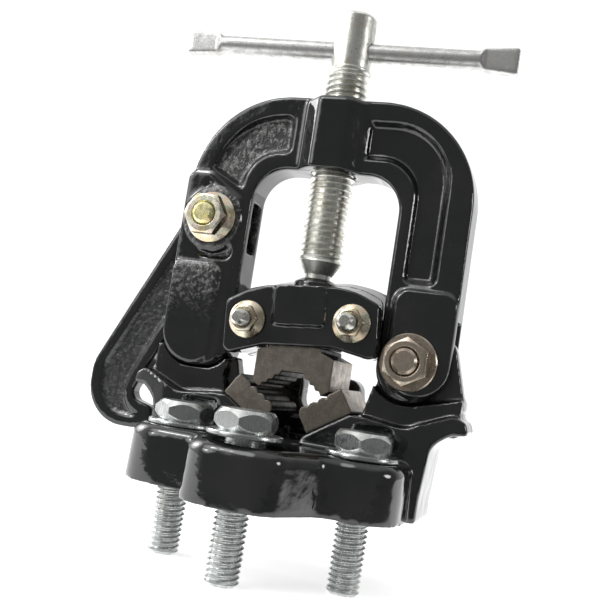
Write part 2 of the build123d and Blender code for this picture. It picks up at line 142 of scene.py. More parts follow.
def applied(made: Obj) -> None:
    """Turns the modifiers of an object into its mesh."""
    bpy.context.view_layer.update()
    graph = bpy.context.evaluated_depsgraph_get()
    final = bpy.data.meshes.new_from_object(made.evaluated_get(graph))
    made.modifiers.clear()
    made.data = final


def dress(made: Obj, finish: Material) -> None:
    """Gives an object one material in place of its own."""
    made.data.materials.clear()
    made.data.materials.append(finish)


def place(made: Obj, finish: Material, body: str, node: str) -> None:
    """Dresses a piece and lets it ride on a body and stand for a node."""
    dress(made, finish)
    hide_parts(node)
    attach(made, body)
    LOG.info("%s rides on %s for %s", made.name, body, node)


@dataclass
class SoftCopy:
    """Copy of a CAD node with its edges rounded off, as a casting or a worn block has.

    The copy is welded, rebuilt on cubes of one size and relaxed: each pass moves every
    point part of the way to the middle of its neighbours, which rounds edges and leaves
    flat faces where they are.
    """

    node: str
    cube: float
    passes: int
    suffix: str = "soft"
    above: float | None = None

    def build(self) -> Obj:
        """Makes the rounded copy, of the part above a height where one is given."""
        mesh = bpy.data.objects[self.node].data.copy()
        mesh.materials.clear()
        weld(mesh, SOLID_WELD)
        if self.above is not None:
            self.cut(mesh)
        made = put_in_scene(f"{self.node}_{self.suffix}", mesh)
        rebuild = made.modifiers.new("rebuild", "REMESH")
        rebuild.mode = "VOXEL"
        rebuild.voxel_size = self.cube * MM
        relax = made.modifiers.new("relax", "SMOOTH")
        relax.iterations = self.passes
        relax.factor = 0.5
        applied(made)
        made.data.shade_smooth()
        return made

    def placed(self, finish: Material, body: str, slot: str) -> None:
        """Makes the copy and places it."""
        place(self.build(), finish, body, self.node)

    def cut(self, mesh: Mesh) -> None:
        """Drops what is under the kept height and closes the cut."""
        shell = bmesh.new()
        shell.from_mesh(mesh)
        whole = shell.verts[:] + shell.edges[:] + shell.faces[:]
        level = Vector((0, 0, self.above * MM))
        found = bmesh.ops.bisect_plane(
            shell, geom=whole, plane_co=level, plane_no=(0, 0, 1), clear_inner=True
        )
        rim = [item for item in found["geom_cut"] if isinstance(item, bmesh.types.BMEdge)]
        bmesh.ops.edgeloop_fill(shell, edges=rim)
        bmesh.ops.recalc_face_normals(shell, faces=shell.faces)
        shell.to_mesh(mesh)
        shell.free()


@dataclass(frozen=True)
class Thread:
    """Right-hand thread on a straight stretch, sizes in millimetres."""

    radius: float
    pitch: float
    depth: float
    bottom: float
    top: float
    fade_bottom: float = 0.6
    fade_top: float = 0.6
    cuts: int = 8
    crest_from: float = 0.9
    flank: float = 0.68

    def rows(self, angle: np.ndarray) -> tuple[np.ndarray, np.ndarray]:
        """Stations of the thread.

        A row climbs one pitch in a turn, z = bottom + pitch (k / cuts + angle / turn), and is
        clipped to the stretch. With t the place within one pitch, the radius is the major
        radius less the depth times how far |2t - 1| is from the crest, held flat on crest
        and root, and the depth fades to nothing towards each end.

        Args:
            angle: Angles round the axis, from 0 to a full turn.

        Returns:
            Radii and heights, each an array (rows, columns).
        """
        turn = angle / (2 * np.pi)
        count = math.ceil((self.top - self.bottom) / self.pitch) + 1
        step = np.arange(-self.cuts, count * self.cuts + 1) / self.cuts
        height = np.clip(self.bottom + self.pitch * (step[:, None] + turn), self.bottom, self.top)
        spot = np.mod((height - self.bottom) / self.pitch - turn, 1.0)
        away = np.abs(2 * spot - 1)
        groove = np.clip((self.crest_from - away) / self.flank, 0, 1)
        low = np.clip((height - self.bottom) / (self.fade_bottom * self.pitch), 0, 1)
        high = np.clip((self.top - height) / (self.fade_top * self.pitch), 0, 1)
        return self.radius - self.depth * groove * low * high, height


@dataclass(frozen=True)
class Hexagon:
    """Hexagon across its flats, turned down to cones above and below, in millimetres."""

    flats: float
    bottom: float
    top: float
    low_crest: float = 0.5
    high_crest: float = 0.5
    turn_by: float = 0.0
    slope: float = 30.0

    def rows(self, angle: np.ndarray) -> tuple[np.ndarray, np.ndarray]:
        """Stations from the lower edge to the upper one.

        The side is at half the flats over the cosine of the angle from the nearest flat's
        middle. Each end cone starts a little inside the flats, and it meets the side at a
        height that follows the side's own radius, which draws the round arcs on the flats.

        Args:
            angle: Angles round the axis, from 0 to a full turn.

        Returns:
            Radii and heights, each an array (4, columns).
        """
        off = np.mod(angle - math.radians(self.turn_by), np.pi / 3) - np.pi / 6
        side = self.flats / 2 / np.cos(off)
        slope = math.tan(math.radians(self.slope))
        low = self.flats / 2 - self.low_crest
        high = self.flats / 2 - self.high_crest
        flat = np.ones_like(side)
        lower, upper = self.bottom + (side - low) * slope, self.top - (side - high) * slope
        radius = np.stack([low * flat, side, side, high * flat])
        return radius, np.stack([self.bottom * flat, lower, upper, self.top * flat])


class Turned:
    """Stack of stations round one axis: plain circles, hexagons and threads."""

    bevel_from = 24.0

    def __init__(self, columns: int = STEPS) -> None:
        """Starts an empty stack with this many steps to a turn."""
        self.angle = np.linspace(0, 2 * np.pi, columns + 1)
        self.radii: list[np.ndarray] = []
        self.heights: list[np.ndarray] = []

    def ring(self, *stations: Pair) -> "Turned":
        """Adds plain circles, each given as (radius, height) in millimetres."""
        flat = np.ones_like(self.angle)[None]
        for radius, height in stations:
            self.radii.append(radius * flat)
            self.heights.append(height * flat)
        return self

    def section(self, form: Thread | Hexagon) -> "Turned":
        """Adds the stations of a thread or a hexagon."""
        radius, height = form.rows(self.angle)
        self.radii.append(radius)
        self.heights.append(height)
        return self

    def build(
        self, name: str, centre: Triple, facing: Facing = Facing.UP, bevel: float = 0.0
    ) -> Obj:
        """Skins the stack: (r cos a, r sin a, z) turned to its facing and moved to its place.

        Args:
            name: Name of the object.
            centre: Where the local origin goes, in millimetres.
            facing: Way in which the axis points.
            bevel: Width in millimetres of the light-catching bevel on sharp edges, or 0.

        Returns:
            The new object.
        """
        radius = np.concatenate(self.radii)
        height = np.concatenate(self.heights)
        x, y = radius * np.cos(self.angle), radius * np.sin(self.angle)
        points = np.stack([x, y, height], axis=-1) @ facing.turn().T + np.array(centre)
        made = grid_object(name, points * MM)
        if bevel:
            edge = made.modifiers.new("edge", "BEVEL")
            edge.width = bevel * MM
            edge.segments = 2
            edge.limit_method = "ANGLE"
            edge.angle_limit = math.radians(self.bevel_from)
            edge.use_clamp_overlap = True
            level = made.modifiers.new("level", "WEIGHTED_NORMAL")
            level.keep_sharp = True
            applied(made)
        return made


class Nodes:
    """Short ways to place and link nodes in one tree."""

    def __init__(self, tree: Tree) -> None:
        """Keeps the tree that the nodes go into."""
        self.tree = tree

    def add(self, kind: str, inputs: dict | None = None, **settings: object) -> Node:
        """Adds a node of a kind without its prefix, with values or sockets for its inputs."""
        node = self.tree.nodes.new("ShaderNode" + kind)
        for key, value in settings.items():
            setattr(node, key, value)
        for key, value in (inputs or {}).items():
            self.feed(node.inputs[key], value)
        return node

    def feed(self, target: Socket, value: object) -> None:
        """Links a socket to an input, or sets the input's own value; colours are opaque."""
        if isinstance(value, Socket):
            self.tree.links.new(value, target)
        else:
            target.default_value = (*value, 1.0) if target.type == "RGBA" else value

    def math(self, operation: str, first: object, second: object = 0.0) -> Socket:
        """Result of one arithmetic step."""
        return self.add("Math", {0: first, 1: second}, operation=operation).outputs[0]

    def ramp(
        self, value: Socket, low: float, high: float, start: float = 0.0, end: float = 1.0
    ) -> Socket:
        """Value carried smoothly from one range to another and held at the ends."""
        inputs = {"Value": value, "From Min": low, "From Max": high, "To Min": start, "To Max": end}
        return self.add("MapRange", inputs, interpolation_type="SMOOTHSTEP").outputs[0]

    def blend(self, share: object, first: object, second: object, how: str = "MIX") -> Socket:
        """Colour between one and another, or between one and its product with another."""
        node = self.add("Mix", data_type="RGBA", blend_type=how)
        for label, value in (("Factor", share), ("A", first), ("B", second)):
            self.feed(node.inputs[label], value)
        return node.outputs["Result"]

    def noise(self, vector: Socket, scale: float, detail: float = 2, rough: float = 0.5) -> Socket:
        """Noise value between 0 and 1; the scale counts waves in a metre."""
        inputs = {"Vector": vector, "Scale": scale, "Detail": detail, "Roughness": rough}
        return self.add("TexNoise", inputs).outputs["Fac"]

    def patches(self, vector: Socket, *values: float) -> Socket:
        """Noise of three values, carried from one range to another by the rest."""
        return self.ramp(self.noise(vector, *values[:3]), *values[3:])

    def rise(self, length: Socket, none: float, full: float) -> Socket:
        """Mask that grows between two lengths in millimetres."""
        return self.ramp(length, none * MM, full * MM)

    def spots(self, vector: Socket, scale: float, size: float, share: float) -> Socket:
        """Mask of small round spots in some cells of a scattered pattern.

        Args:
            vector: Where to read the pattern.
            scale: Cells in a metre.
            size: Radius of a spot as a share of a cell.
            share: Share of the cells that have one.
        """
        cells = self.add("TexVoronoi", {"Vector": vector, "Scale": scale})
        near = self.ramp(cells.outputs["Distance"], size, size * SPOT_CORE)
        lottery = self.add("SeparateColor", {0: cells.outputs["Color"]}).outputs[0]
        return self.times(near, self.math("LESS_THAN", lottery, share))

    def times(self, first: object, *others: object) -> Socket:
        """Product of several values."""
        for other in others:
            first = self.math("MULTIPLY", first, other)
        return first

    def plus(self, first: object, *others: object) -> Socket:
        """Sum of several values."""
        for other in others:
            first = self.math("ADD", first, other)
        return first

    def cosine(self, vector: Socket, way: Triple) -> Socket:
        """Dot product of a vector and a fixed direction."""
        return self.add("VectorMath", {0: vector, 1: way}, operation="DOT_PRODUCT").outputs["Value"]

    def away(self, output: str, axis: int) -> Socket:
        """Size of one part of a texture coordinate, whichever its sign."""
        vector = self.add("TexCoord").outputs[output]
        return self.math("ABSOLUTE", self.add("SeparateXYZ", {0: vector}).outputs[axis])


def start_group(name: str, inputs: dict[str, float], outputs: list[str]) -> tuple:
    """Starts a node group that reads a vector.

    Args:
        name: Name of the group.
        inputs: Default value by socket name.
        outputs: Names of its value outputs.

    Returns:
        The group, its node helper, the sockets that bring its inputs and take its outputs.
    """
    group = bpy.data.node_groups.new(name, "ShaderNodeTree")
    group.interface.new_socket("Vector", in_out="INPUT", socket_type="NodeSocketVector")
    for label, value in inputs.items():
        made = group.interface.new_socket(label, in_out="INPUT", socket_type="NodeSocketFloat")
        made.default_value = value
    for label in outputs:
        group.interface.new_socket(label, in_out="OUTPUT", socket_type="NodeSocketFloat")
    entry = group.nodes.new("NodeGroupInput").outputs
    return group, Nodes(group), entry, group.nodes.new("NodeGroupOutput").inputs


@dataclass(frozen=True)
class EnamelSkin:
    """Patterns of enamel over a sand casting: pebbles, orange peel, film, dust specks and a painted
    highlight on pebble crests.

    A noise is its waves in a metre, detail and roughness. Patches add the range of the noise
    and, if they aren't 0 and 1, the values at its ends. Specks are cells in a metre, a radius
    as a share of a cell and the share of the cells that have one. Heights are in millimetres.
    """

    pebbles: tuple = (560, 2.0, 0.5, 0.36, 0.70)
    pebble_height: float = 0.16
    peel: tuple = (120, 1.0)
    peel_height: float = 0.22
    dimples: tuple = (330, 1.0)
    dimple_share: float = 0.18
    specks: tuple = ((330, 0.06, 0.07), (900, 0.11, 0.02))
    speck_height: float = 0.05
    clusters: tuple = (60, 2.0, 0.5, 0.42, 0.66)
    film: tuple = (95, 5.0, 0.62)
    film_roughness: float = 0.03
    gloss: tuple = (480, 3.0, 0.5, 0.3, 0.75, 0.04, 0.075)
    # Patches and crests of the painted highlight on the pebbles.
    patches: tuple = (130, 2.0, 0.5, 0.3, 0.62, 0.4, 1.0)
    painted_glints: tuple = (560, 3.0, 0.65, 0.48, 0.62)

    def group(self) -> Tree:
        """Builds the group, whose Film, Specks and PaintedGlint are masks; PaintedGlint is the
        painted highlight on pebble crests.
        """
        inputs = {"Pebble": 0.5, "Peel": 0.5, "Dust": 0.5}
        outputs = ["Height", "Roughness", "Film", "Specks", "PaintedGlint"]
        group, nodes, entry, leave = start_group("enamel_skin", inputs, outputs)
        where = entry["Vector"]
        pebble = nodes.patches(where, *self.pebbles)
        height = nodes.times(entry["Pebble"], self.pebble_height, pebble)
        dimple = nodes.times(nodes.noise(where, *self.dimples), self.dimple_share)
        wave = nodes.plus(nodes.noise(where, *self.peel), dimple)
        height = nodes.plus(height, nodes.times(entry["Peel"], self.peel_height, wave))
        specks = nodes.plus(*(nodes.spots(where, *specks) for specks in self.specks))
        cluster = nodes.patches(where, *self.clusters)
        specks = nodes.times(cluster, entry["Dust"], specks)
        height = nodes.plus(height, nodes.times(specks, self.speck_height))
        film = nodes.times(nodes.noise(where, *self.film), cluster)
        dulled = nodes.times(film, self.film_roughness)
        rough = nodes.plus(nodes.patches(where, *self.gloss), dulled)
        # Painted highlight: grey glints on pebble crests, in patches.
        painted_glint = nodes.times(nodes.patches(where, *self.painted_glints), nodes.patches(where, *self.patches))
        for target, value in zip(leave, (height, rough, film, specks, painted_glint)):
            nodes.feed(target, value)
        return group


@dataclass(frozen=True)
class MetalSkin:
    """Patterns of bare and plated metal: cloudy tone, drawn lines, pits and warm stains.

    Noises, patches, pits and heights are told as in the enamel's patterns.
    """

    drawn: tuple = (3600, 2.0, 0.6)
    stretch: Triple = (1.0, 1.0, 0.06)
    drawn_height: float = 0.010
    grain: tuple = (2400, 3.0, 0.6)
    grain_height: float = 0.014
    cloud: tuple = (330, 4.0, 0.6)
    stains: tuple = (170, 4.0, 0.65, 0.52, 0.72)
    pits: tuple = ((620, 0.2, 0.14), (1500, 0.3, 0.07))
    pit_depth: float = 0.05

    def group(self) -> Tree:
        """Builds the group, whose Tone, Stain and Pits are masks."""
        inputs = {"Lines": 0.5, "Grain": 0.5, "Pitting": 0.3}
        outputs = ["Height", "Tone", "Stain", "Pits"]
        group, nodes, entry, leave = start_group("metal_skin", inputs, outputs)
        where = entry["Vector"]
        along = nodes.add("Mapping", {"Vector": where, "Scale": self.stretch}).outputs[0]
        drawn, grain = nodes.noise(along, *self.drawn), nodes.noise(where, *self.grain)
        tone = nodes.times(nodes.math("SUBTRACT", drawn, 0.5), entry["Lines"])
        grit = nodes.times(nodes.math("SUBTRACT", grain, 0.5), entry["Grain"])
        tone = nodes.plus(tone, grit, nodes.noise(where, *self.cloud))
        pits = nodes.plus(*(nodes.spots(where, *pits) for pits in self.pits))
        pits = nodes.times(pits, entry["Pitting"])
        height = nodes.times(entry["Lines"], self.drawn_height, drawn)
        height = nodes.plus(height, nodes.times(entry["Grain"], self.grain_height, grain))
        height = nodes.math("SUBTRACT", height, nodes.times(pits, self.pit_depth))
        stain = nodes.patches(where, *self.stains)
        for target, value in zip(leave, (height, tone, stain, pits)):
            nodes.feed(target, value)
        return group


def placed_group(nodes: Nodes, group: Tree, values: dict) -> bpy.types.NodeOutputs:
    """Places a group in a material with its own values, and gives its outputs."""
    node = nodes.tree.nodes.new("ShaderNodeGroup")
    node.node_tree = group
    values["Vector"] = nodes.add("TexCoord").outputs["Object"]
    for label, value in values.items():
        nodes.feed(node.inputs[label], value)
    return node.outputs


def new_material(name: str) -> tuple[Material, Nodes, Node]:
    """Starts a material: gives it, its node helper and its one Principled shader."""
    made = bpy.data.materials.new(name)
    made.use_nodes = True
    made.node_tree.nodes.clear()
    nodes = Nodes(made.node_tree)
    shader = nodes.add("BsdfPrincipled")
    nodes.feed(nodes.add("OutputMaterial").inputs["Surface"], shader.outputs[0])
    return made, nodes, shader


def dress_shader(nodes: Nodes, shader: Node, base: Socket, rough: Socket, height: Socket) -> None:
    """Feeds a shader its colour, its roughness and the relief of a height in millimetres."""
    relief = nodes.add("Bump", {"Height": height, "Strength": 1.0, "Distance": MM}).outputs[0]
    for label, value in (("Base Color", base), ("Roughness", rough), ("Normal", relief)):
        nodes.feed(shader.inputs[label], value)


@dataclass(frozen=True)
class CastEnamel:
    """Black gloss enamel on a casting, satin on its pebbled faces, whose pebble crests carry a
    painted highlight in grey.

    Pebbled are the sunk webs, left of where the casting gets smooth, and the upper part of
    the pad on the latch leg. Lengths are in millimetres; a range is where a mask starts and
    where it is full.
    """

    name: str
    group: Tree
    pebble: float = 0.06
    web_pebble: float = 0.06
    peel: float = 0.75
    dust: float = 0.7
    web_level: float = 6.9
    smooth_from_x: float = 1000.0
    pad_level: float = 1000.0
    satin: float = 0.25
    # Strength of the painted highlight on pebble crests.
    painted_glint_strength: float = 0.0
    ior: float = 1.7
    edge: float = 0.25
    fade: float = 20.0
    pad_rise: Pair = (56.0, 80.0)
    pad_side: Pair = (-24.0, -30.0)
    pad_edge: float = 0.2
    front_range: Pair = (0.55, 0.85)
    black: Triple = (0.010, 0.0107, 0.011)
    film: Triple = (0.022, 0.022, 0.0217)
    # Grey of the painted highlight on pebble crests.
    painted_glint_grey: Triple = (0.30, 0.295, 0.285)
    speck: Triple = (0.55, 0.53, 0.5)

    def pebbled(self, nodes: Nodes) -> Socket:
        """Mask of the pebbled faces."""
        x, _, z = nodes.add("SeparateXYZ", {0: nodes.add("TexCoord").outputs["Object"]}).outputs
        depth = nodes.away("Object", 1)
        sunk = nodes.rise(depth, self.web_level + self.edge, self.web_level - self.edge)
        web = nodes.times(sunk, nodes.rise(x, self.smooth_from_x, self.smooth_from_x - self.fade))
        raised = nodes.rise(depth, self.pad_level, self.pad_level + self.pad_edge)
        pad = nodes.times(raised, nodes.rise(z, *self.pad_rise), nodes.rise(x, *self.pad_side))
        front = nodes.ramp(nodes.away("Normal", 1), *self.front_range)
        return nodes.times(nodes.math("MAXIMUM", web, pad), front)

    def material(self) -> Material:
        """Builds the material."""
        made, nodes, shader = new_material(self.name)
        share = self.pebbled(nodes)
        pebble = nodes.plus(nodes.times(share, self.web_pebble - self.pebble), self.pebble)
        values = {"Pebble": pebble, "Peel": self.peel, "Dust": self.dust}
        skin = placed_group(nodes, self.group, values)
        body = nodes.blend(skin["Film"], self.black, self.film)
        # Painted highlight: pebble crests on the pebbled faces turn grey.
        body = nodes.blend(nodes.times(share, self.painted_glint_strength, skin["PaintedGlint"]), body, self.painted_glint_grey)
        body = nodes.blend(skin["Specks"], body, self.speck)
        rough = nodes.plus(nodes.times(share, self.satin), skin["Roughness"])
        dress_shader(nodes, shader, body, rough, skin["Height"])
        shader.inputs["IOR"].default_value = self.ior
        return made


@dataclass(frozen=True)
class PaintedFacingLight:
    """Painted shade or reflection: a colour that multiplies the faces that look one way or its
    opposite, darkening or brightening them.

    It grows from none to full between two cosines of the angle to that way, on faces whose
    distance in millimetres from the middle plane is past a least one.
    """

    way: Triple
    none: float
    full: float
    tint: Triple
    beyond: float = 0.0

    def over(self, nodes: Nodes, base: Socket) -> Socket:
        """Paints the shade or reflection over a base colour."""
        cosine = nodes.cosine(nodes.add("TexCoord").outputs["Normal"], self.way)
        share = nodes.ramp(nodes.math("ABSOLUTE", cosine), self.none, self.full)
        placed = nodes.rise(nodes.away("Object", 0), self.beyond - 1, self.beyond)
        return nodes.blend(nodes.times(share, placed), base, self.tint, "MULTIPLY")


@dataclass(frozen=True)
class Metal:
    """Bare or plated steel: two tones, a stain colour, drawn lines, grain, pits and painted shade
    or reflection by facing.
    """

    name: str
    group: Tree
    light: Triple
    dark: Triple
    stain: Triple
    pit: Triple = (0.05, 0.045, 0.04)
    stained: float = 0.3
    rough: Pair = (0.45, 0.25)
    lines: float = 0.5
    grain: float = 0.5
    pitting: float = 0.2
    face_tints: tuple[PaintedFacingLight, ...] = ()

    def material(self) -> Material:
        """Builds the material."""
        made, nodes, shader = new_material(self.name)
        values = {"Lines": self.lines, "Grain": self.grain, "Pitting": self.pitting}
        skin = placed_group(nodes, self.group, values)
        base = nodes.blend(nodes.ramp(skin["Tone"], *TONES), self.dark, self.light)
        base = nodes.blend(nodes.times(skin["Stain"], self.stained), base, self.stain)
        # Painted shade and painted reflections, by which way a face looks.
        for face_tint in self.face_tints:
            base = face_tint.over(nodes, base)
        base = nodes.blend(skin["Pits"], base, self.pit)
        rough = nodes.ramp(skin["Tone"], *TONES, *self.rough)
        dress_shader(nodes, shader, base, rough, skin["Height"])
        shader.inputs["Metallic"].default_value = 1.0
        return made


@dataclass(frozen=True)
class YellowZinc:
    """Yellow chromate over zinc, whose thin film shifts from gold to green and rose.

    The sides of a nut, which face away from Y, carry painted shade, darker than its ends.
    """

    name: str
    group: Tree
    gold: Triple = (0.70, 0.60, 0.36)
    green: Triple = (0.52, 0.58, 0.42)
    rose: Triple = (0.74, 0.52, 0.45)
    pale: Triple = (0.80, 0.78, 0.66)
    pit: Triple = (0.1, 0.08, 0.05)
    # Painted shade of a nut's sides.
    side: Triple = (0.42, 0.41, 0.36)
    side_shade_range: Pair = (0.55, 0.2)
    drift: tuple = (190, 2.0, 0.5, 0.36, 0.62)
    swirl: tuple = (420, 3.0, 0.6)
    green_range: tuple = (0.5, 0.66, 0.0, 0.75)
    rose_range: tuple = (0.5, 0.36, 0.0, 0.7)
    rough: Pair = (0.34, 0.18)

    def material(self) -> Material:
        """Builds the material."""
        made, nodes, shader = new_material(self.name)
        skin = placed_group(nodes, self.group, {"Lines": 0.3, "Grain": 0.3, "Pitting": 0.05})
        where = nodes.add("TexCoord").outputs["Object"]
        swirl = nodes.noise(where, *self.swirl)
        base = nodes.blend(nodes.patches(where, *self.drift), self.gold, self.pale)
        base = nodes.blend(nodes.ramp(swirl, *self.green_range), base, self.green)
        base = nodes.blend(nodes.ramp(swirl, *self.rose_range), base, self.rose)
        base = nodes.blend(skin["Pits"], base, self.pit)
        # Painted shade: the nut's sides are darkened.
        share = nodes.ramp(nodes.away("Normal", 1), *self.side_shade_range)
        base = nodes.blend(share, base, self.side, "MULTIPLY")
        rough = nodes.ramp(skin["Tone"], *TONES, *self.rough)
        dress_shader(nodes, shader, base, rough, skin["Height"])
        shader.inputs["Metallic"].default_value = 1.0
        return made


class Finishes:
    """Every material of the vise."""

    def __init__(self) -> None:
        """Builds the shared groups and the materials once."""
        enamel = EnamelSkin().group()
        self.metal = MetalSkin().group()
        self.cast = CastEnamel("cast_black", enamel, peel=1.1).material()
        # The yoke's pebbled faces carry a strong painted highlight on their crests, the hook's a
        # faint one.
        self.yoke = CastEnamel(
            "cast_black_yoke", enamel, web_pebble=0.6, smooth_from_x=12.0, pad_level=8.5,
            painted_glint_strength=0.85,
        ).material()
        self.hook = CastEnamel(
            "cast_black_hook", enamel, web_pebble=0.4, web_level=2.9, satin=0.2, painted_glint_strength=0.15
        ).material()
        # Jaws: painted shade on the serrations, painted reflection on the outer sides.
        self.jaw = self.jaw_steel("jaw_steel", (1.0, 0.0, 0.0), 11.0)
        self.jaw_turned = {
            "left": self.jaw_steel("jaw_steel_left", (0.707, 0.0, -0.707), 24.0),
            "right": self.jaw_steel("jaw_steel_right", (0.707, 0.0, 0.707), 0.0),
        }
        # Painted shade: upright faces such as hex flats and shanks are darker than the cones.
        sides = PaintedFacingLight((0.0, 0.0, 1.0), 0.45, 0.15, (0.66, 0.66, 0.67))
        self.bright = self.steel(
            "bright_zinc", (0.71, 0.725, 0.72), (0.46, 0.475, 0.47), (0.58, 0.56, 0.46),
            rough=(0.38, 0.2), lines=1.0, grain=0.4, pitting=0.08, face_tints=(sides,),
        )
        self.dull = self.steel(
            "dull_zinc", (0.54, 0.47, 0.38), (0.32, 0.27, 0.22), (0.42, 0.27, 0.18),
            stained=0.5, rough=(0.42, 0.25), lines=0.4, pitting=0.15,
        )
        self.screw = self.steel(
            "screw_steel", (0.84, 0.84, 0.79), (0.56, 0.565, 0.515), (0.55, 0.46, 0.33),
            stained=0.5, rough=(0.46, 0.28), lines=0.15, grain=0.8, pitting=0.9,
        )
        self.bar = self.steel(
            "bar_steel", (0.66, 0.66, 0.65), (0.46, 0.46, 0.45), (0.5, 0.45, 0.37),
            stained=0.4, rough=(0.5, 0.36), lines=0.1, grain=0.9, pitting=0.4,
        )
        self.yellow = YellowZinc("yellow_zinc", self.metal).material()
        self.gold = YellowZinc(
            "yellow_zinc_deep", self.metal,
            (0.78, 0.68, 0.28), (0.66, 0.68, 0.34), (0.76, 0.60, 0.34), (0.86, 0.80, 0.46),
        ).material()
        # Browner copy of the yellow zinc for the carrier nuts, darkened as painted shade.
        self.shaded_brown_gold = YellowZinc(
            "yellow_zinc_shaded_brown", self.metal,
            (0.52, 0.44, 0.30), (0.50, 0.50, 0.40), (0.56, 0.42, 0.32), (0.66, 0.62, 0.50),
        ).material()
        self.pale = self.steel(
            "yellow_zinc_rubbed", (0.74, 0.74, 0.70), (0.52, 0.51, 0.46), (0.6, 0.5, 0.3),
            rough=(0.34, 0.18), lines=0.3, pitting=0.1,
        )

    def steel(self, name: str, *shades: Triple, **values: object) -> Material:
        """Metal of a light, a dark and a stain colour; other values are fields of Metal."""
        return Metal(name, self.metal, *shades, **values).material()

    def jaw_steel(self, name: str, sheen_way: Triple, beyond: float) -> Material:
        """Jaw steel with painted shade on its serrations and other faces not facing front or rear,
        and a painted reflection that makes its ground outer sides much paler.

        Args:
            name: Name of the material.
            sheen_way: Direction that the outer sides with the painted reflection face, or its
                opposite.
            beyond: Least distance in millimetres from the middle plane of a side with the painted
                reflection.
        """
        # Painted shade darkens the serrations and every face not facing front or rear.
        painted_serration_shade = PaintedFacingLight((0.0, 1.0, 0.0), 0.75, 0.35, (0.15, 0.15, 0.16))
        # Painted reflection brightens the outer sides many times over.
        painted_side_sheen = PaintedFacingLight(sheen_way, 0.80, 0.95, (19.0, 19.6, 19.4), beyond)
        return self.steel(
            name, (0.205, 0.185, 0.16), (0.135, 0.12, 0.10), (0.18, 0.135, 0.10),
            rough=(0.58, 0.42), lines=0.25, grain=1.0, pitting=0.12, face_tints=(painted_serration_shade, painted_side_sheen),
        )


@dataclass
class Base:
    """Foot with its jaws and its three holding-down bolts, lengths in millimetres.

    A bolt has a name, the seat of its head and the turn of its head in degrees.
    """

    finishes: Finishes
    bolts: tuple = (
        ("left", (-32.7, -25.3, 21.1), 22.6),
        ("right", (32.7, -25.3, 21.1), 37.0),
        ("front", (0.0, -50.0, 23.1), 37.7),
    )
    head: Hexagon = Hexagon(18.5, 0.0, 7.0, 0.8, 0.8, 0.0, 48.0)
    thread: Thread = Thread(5.55, 1.8, 0.95, -23.4, -0.5, 0.3, 0.3)
    shank: float = 5.85
    point: float = 4.4
    stud_end: float = -24.5
    bevel: float = 0.12
    washer_bore: float = 6.0
    washer_radius: float = 12.3
    washer_top: float = 1.6

    def build(self) -> None:
        """Makes and dresses the base casting, its jaws, bolts and washers."""
        finishes = self.finishes
        SoftCopy("base_casting", 0.75, 5).placed(finishes.cast, "base", "cast_black")
        for side, finish in finishes.jaw_turned.items():
            SoftCopy(f"{side}_lower_jaw", 0.27, 3).placed(finish, "base", "jaw_steel")
        for side, spot, turn in self.bolts:
            bolt, washer = self.bolt(side, spot, turn), self.washer(side, spot)
            place(bolt, finishes.bright, "base", "mounting_bolts")
            place(washer, finishes.bright, "base", "mounting_washers")
        dress(bpy.data.objects["lower_jaw_screws"], finishes.dull)

    def bolt(self, side: str, spot: Triple, turn: float) -> Obj:
        """Hexagon bolt whose thread starts just under the foot."""
        seat, head, thread = spot[2], replace(self.head, turn_by=turn), self.thread
        end = self.stud_end - seat
        thread = replace(thread, bottom=thread.bottom - seat, top=thread.top - seat)
        stack = Turned().ring((0, end), (self.point, end)).section(thread)
        stack.ring((self.shank, thread.top), (self.shank, 0.0)).section(head).ring((0, head.top))
        return stack.build(f"mounting_bolt_{side}", spot, Facing.UP, self.bevel)

    def washer(self, side: str, spot: Triple) -> Obj:
        """Plain washer with soft edges."""
        bore, rim, top = self.washer_bore, self.washer_radius, self.washer_top
        stack = Turned().ring((bore, 0), (rim - 0.4, 0), (rim, 0.35), (rim, top - 0.45))
        stack.ring((rim - 0.15, top - 0.15), (rim - 0.5, top), (bore + 0.3, top))
        stack.ring((bore, top - 0.3), (bore, 0))
        return stack.build(f"mounting_washer_{side}", (spot[0], spot[1], spot[2] - top))


def across(centre: Pair, y: float) -> Triple:
    """Place along an axis that runs along Y."""
    return (centre[0], y, centre[1])


@dataclass
class CrossBolt:
    """Bolt along Y with its head at the rear and its thread through a front nut.

    The seat of the head and the end are places along Y, in millimetres.
    """

    centre: Pair
    radius: float
    pitch: float
    seat: float
    end: float
    head: Hexagon
    columns: int = 64
    depth: float = 0.62
    point: float = 0.95
    point_height: float = 0.9
    threaded: float = 14.0
    fade: float = 0.3
    bevel: float = 0.1

    def build(self, name: str) -> Obj:
        """Makes the bolt: thread end, shank and head, stacked from front to rear."""
        end = self.end - self.seat
        bottom, top = end + self.point_height, end + self.threaded
        depth = self.depth * self.pitch
        thread = Thread(self.radius, self.pitch, depth, bottom, top, self.fade)
        stack = Turned(self.columns).ring((0, end), (self.radius - self.point, end))
        stack.section(thread).ring((self.radius, 0.0)).section(self.head).ring((0, self.head.top))
        return stack.build(name, across(self.centre, self.seat), Facing.REAR, self.bevel)


@dataclass
class Nut:
    """Hexagon nut on the front of a bolt, with a flange where it has a radius for one."""

    centre: Pair
    seat: float
    bore: float
    hexagon: Hexagon
    flange: float = 0.0
    flange_rise: float = 0.28
    flange_rim: float = 0.9
    bevel: float = 0.12

    def build(self, name: str) -> Obj:
        """Makes the nut as one closed loop of stations: flange, hexagon, top and bore."""
        bore, rim, hexagon = self.bore, self.flange, self.hexagon
        top, stack = hexagon.top, Turned().ring((bore, 0))
        if rim:
            foot = 1.1 + self.flange_rise * top
            stack.ring((rim - 0.3, 0), (rim, 0.3), (rim, self.flange_rim))
            stack.ring((rim - 0.35, 1.25), (hexagon.flats / 2 - 0.2, foot))
            hexagon = replace(hexagon, bottom=foot, low_crest=0.2, high_crest=0.5)
        stack.section(hexagon).ring((bore + 0.8, top), (bore, top - 0.7), (bore, 0))
        return stack.build(name, across(self.centre, self.seat), Facing.FRONT, self.bevel)


